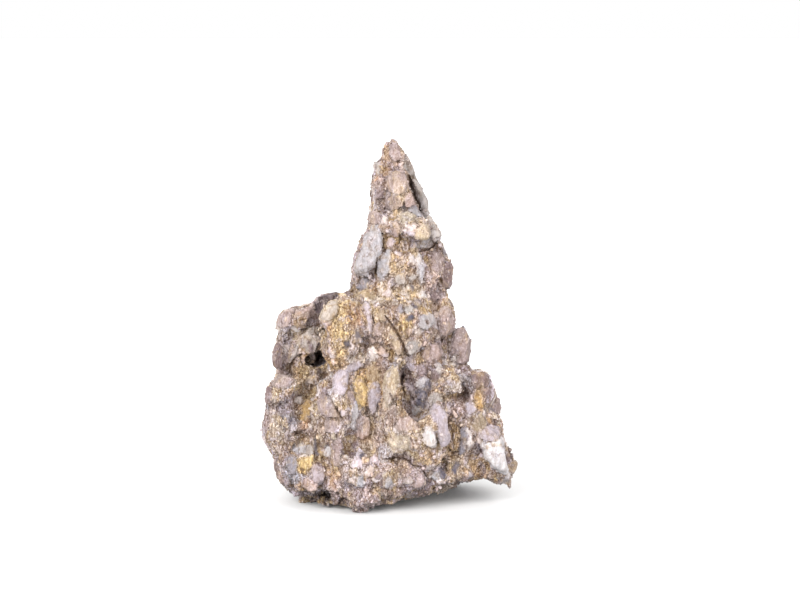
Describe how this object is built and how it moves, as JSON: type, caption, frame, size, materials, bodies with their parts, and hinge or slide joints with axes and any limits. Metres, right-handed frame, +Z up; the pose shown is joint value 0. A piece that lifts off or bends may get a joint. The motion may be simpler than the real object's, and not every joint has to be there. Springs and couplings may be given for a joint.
{
  "type": "ibigawa rock",
  "caption": "Standing breccia stone with a narrow pointed spire on a broad, undercut base, rough all over with angular clasts.",
  "frame": {"origin": "on the floor, under the middle of the rock's bounding box", "axes": "+Z up, +X towards the lower foot that overhangs on the seen face's right, -Y towards the seen face"},
  "size_m": [0.1996, 0.1497, 0.2829],
  "materials": {
    "stone": "rough"
  },
  "bodies": {
    "root": {"rock": "stone"}
  },
  "joints": []
}
